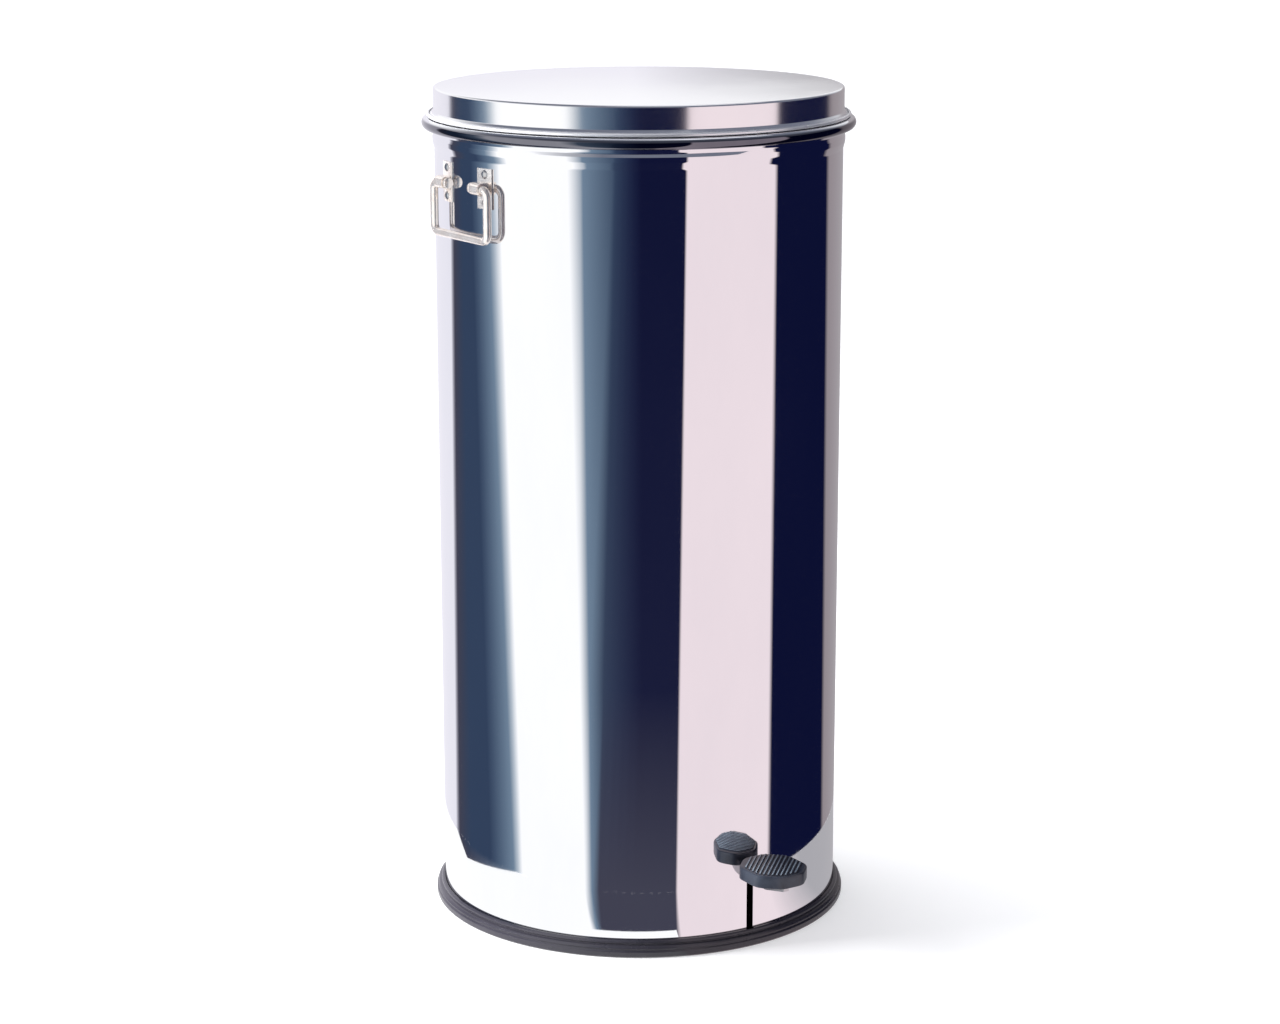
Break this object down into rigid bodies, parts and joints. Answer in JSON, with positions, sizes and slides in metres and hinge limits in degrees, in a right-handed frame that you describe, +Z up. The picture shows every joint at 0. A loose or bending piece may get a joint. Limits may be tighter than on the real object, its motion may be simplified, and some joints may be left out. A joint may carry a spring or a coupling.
{
  "type": "pedal waste bin",
  "caption": "Tall cylindrical waste bin with a rolled rim, hinged flat lid, black base, foot pedal that opens the lid through a lever and push rod, lift-out inner bucket and side drop handles.",
  "frame": {"origin": "centre of the base's underside, on the axis of the cylinder", "axes": "+Z up along the cylinder's axis, -Y towards the pedal, +Y towards the lid's hinge, +X to the right seen from the pedal"},
  "size_m": [0.4244, 0.494, 0.8247],
  "materials": {
    "polished_steel": "mirror-polished stainless steel",
    "plain_steel": "satin stainless steel",
    "zinc_steel": "zinc-plated steel",
    "galvanised_steel": "hot-dip galvanised steel with a faint spangle",
    "dark_steel": "blackened steel",
    "black_plastic": "fine-grained moulded plastic",
    "black_rubber": "ribbed moulded rubber",
    "white_nylon": "plain moulded nylon"
  },
  "bodies": {
    "bin": {"body_shell": "polished_steel", "base_cap": "black_plastic", "floor_plate": "zinc_steel", "base_screws": "dark_steel", "base_nuts": "dark_steel", "hinge_bracket": "polished_steel", "hinge_bracket_rivets": "plain_steel", "hinge_pin": "plain_steel", "hinge_pin_clip": "dark_steel", "hinge_washers": "white_nylon", "pedal_bracket": "zinc_steel", "pedal_bracket_rivets": "plain_steel", "pedal_axle": "zinc_steel", "pedal_axle_clip": "dark_steel", "pedal_spacers": "white_nylon", "rod_guides": "white_nylon", "rod_guide_rivets": "plain_steel", "handle_brackets_left": "polished_steel", "handle_rivets_left": "plain_steel", "handle_brackets_right": "polished_steel", "handle_rivets_right": "plain_steel", "inner_bucket": "galvanised_steel", "bucket_ears": "zinc_steel", "bucket_rivets": "plain_steel", "bucket_bail": "zinc_steel", "bucket_grip": "black_plastic", "bucket_shelf": "zinc_steel", "shelf_posts": "black_plastic", "shelf_screws": "dark_steel"},
    "lid": {"lid": "polished_steel", "lid_crank": "zinc_steel", "lid_hinge_leaf": "polished_steel", "lid_rivets": "plain_steel"},
    "pedal": {"pedal_pad": "black_rubber", "tread_plate": "zinc_steel", "pedal_lever": "zinc_steel"},
    "rod": {"push_rod": "zinc_steel", "push_rod_clips": "dark_steel"},
    "left_handle": {"handle_left": "polished_steel"},
    "right_handle": {"handle_right": "polished_steel"}
  },
  "joints": [
    {"name": "lid_hinge", "type": "hinge", "parent": "bin", "child": "lid", "pos_m": [0, 0.2155, 0.799], "axis": [-1, 0, 0], "range_deg": [0, 80]},
    {"name": "pedal_pivot", "type": "hinge", "parent": "bin", "child": "pedal", "pos_m": [0, 0, 0.056], "axis": [1, 0, 0], "range_deg": [0, 12.17]},
    {"name": "rod_pivot", "type": "hinge", "parent": "lid", "child": "rod", "pos_m": [0, 0.19175, 0.77907], "axis": [-1, 0, 0], "range_deg": [-80, 0]},
    {"name": "left_handle_pivot", "type": "hinge", "parent": "bin", "child": "left_handle", "pos_m": [-0.20453, -0.00536, 0.741], "axis": [-0.0262, 0.9997, 0], "range_deg": [0, 150]},
    {"name": "right_handle_pivot", "type": "hinge", "parent": "bin", "child": "right_handle", "pos_m": [0.20453, -0.00536, 0.741], "axis": [-0.0262, -0.9997, 0], "range_deg": [0, 150]}
  ],
  "couplings": [
    {"joint": "pedal_pivot", "follows": "lid_hinge", "ratio": 0.15201},
    {"joint": "rod_pivot", "follows": "lid_hinge", "ratio": -1}
  ]
}
